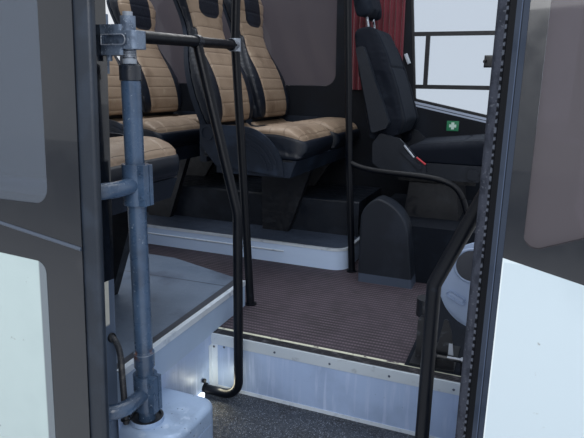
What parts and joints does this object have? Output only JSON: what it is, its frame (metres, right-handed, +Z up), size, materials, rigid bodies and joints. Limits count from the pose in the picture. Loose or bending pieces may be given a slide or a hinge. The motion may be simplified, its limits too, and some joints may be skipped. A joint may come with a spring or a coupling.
{
  "type": "minibus entrance section",
  "caption": "Entrance section of a minibus: outward swinging door leaf on a turning column, step well, landing, grab rails, passenger seats and driver's seat on a cut body frame.",
  "frame": {"origin": "centre of the four chassis bolt holes, on the underside of the two chassis rails", "axes": "+X to the front of the bus, +Y across from the doorway to the far side, +Z up"},
  "size_m": [2.7, 2.413, 2.01],
  "materials": {
    "body_dark": "gloss black band",
    "body_white": "white body paint",
    "box_silver": "silver paint with dirt",
    "cast_alloy": "rough bare casting",
    "chassis_black": "satin black chassis paint",
    "column_grey": "slate blue-grey paint with rust at the collar",
    "curtain_red": "red cloth",
    "deck": "matt grey painted deck",
    "frame_black": "black powder coat",
    "glass_clear": "lightly tinted glass",
    "glass_dark": "tinted glass",
    "inner_wall": "dark trim board",
    "lamp": "clear lens",
    "mat": "dark brown ribbed mat",
    "panel_grey": "light grey moulding",
    "plated": "dull plating",
    "platform_grey": "grey floor covering",
    "post_grey": "blue-grey paint",
    "rail_black": "gloss black powder coat",
    "seal_rubber": "bumpy grey-black rubber",
    "seat_beige": "beige leatherette with blue-black sides",
    "seat_black": "black woven cloth",
    "shell_black": "grained black moulding",
    "step_sheet": "dull blue-grey aluminium sheet",
    "tread": "speckled anti-slip flooring",
    "trim_alloy": "bright anodised trim"
  },
  "bodies": {
    "section": {"bearing_box": "box_silver", "bearing_plates": "cast_alloy", "cab_podium": "platform_grey", "cross_rail": "rail_black", "curtain": "curtain_red", "curtain_rod": "frame_black", "door_gear": "frame_black", "door_seal": "seal_rubber", "driver_pedestal": "frame_black", "driver_stanchion": "rail_black", "driver_window_frame": "frame_black", "entry_rail": "rail_black", "far_wall": "inner_wall", "floor_deck": "deck", "floor_mat": "mat", "floor_trims": "trim_alloy", "front_door_post": "post_grey", "front_rail": "rail_black", "gear_sheet": "deck", "guard_hoop": "rail_black", "kerb_lower_panels": "body_white", "kerb_window_panels": "body_dark", "landing_nosing": "trim_alloy", "locker": "shell_black", "podium": "platform_grey", "rail_clamps": "plated", "rear_stanchion": "rail_black", "roof_frame": "frame_black", "seat_backs": "seat_beige", "seat_cushions": "seat_beige", "seat_duct": "shell_black", "seat_frames": "frame_black", "seat_shells": "shell_black", "side_glass": "glass_clear", "side_platform": "platform_grey", "speaker_panel": "panel_grey", "step_lamp": "lamp", "step_tread": "tread", "step_well": "step_sheet", "top_bearing": "cast_alloy", "underframe": "chassis_black", "wiring_hose": "seal_rubber"},
    "column": {"door_column": "column_grey", "door_arms": "column_grey"},
    "leaf": {"leaf_frame": "body_dark", "leaf_panel": "body_white", "leaf_glass": "glass_dark", "leaf_seal": "seal_rubber", "leaf_brackets": "column_grey"},
    "driver_seat": {"driver_base": "shell_black", "driver_cushion": "seat_black", "belt_stalk": "shell_black"},
    "driver_backrest": {"driver_back": "seat_black", "driver_headrest": "seat_black"},
    "driver_arm": {"driver_armrest": "shell_black"}
  },
  "joints": [
    {"name": "door_swing", "type": "hinge", "parent": "section", "child": "column", "pos_m": [0.068, -1.005, 0.56], "axis": [0, 0, 1], "range_deg": [0, 159.3]},
    {"name": "leaf_link", "type": "hinge", "parent": "column", "child": "leaf", "pos_m": [-0.30272, -1.145, 0.56], "axis": [0, 0, 1], "range_deg": [-159.3, 0]},
    {"name": "driver_slide", "type": "slide", "parent": "section", "child": "driver_seat", "axis": [1, 0, 0], "range_m": [-0.09, 0.09]},
    {"name": "driver_recline", "type": "hinge", "parent": "driver_seat", "child": "driver_backrest", "pos_m": [0.372, 0.715, 0.86], "axis": [0, 1, 0], "range_deg": [-28, 5]},
    {"name": "armrest_fold", "type": "hinge", "parent": "driver_backrest", "child": "driver_arm", "pos_m": [0.352, 0.457, 0.976], "axis": [0, 1, 0], "range_deg": [0, 106]}
  ],
  "couplings": [
    {"joint": "leaf_link", "follows": "door_swing", "ratio": -1}
  ]
}
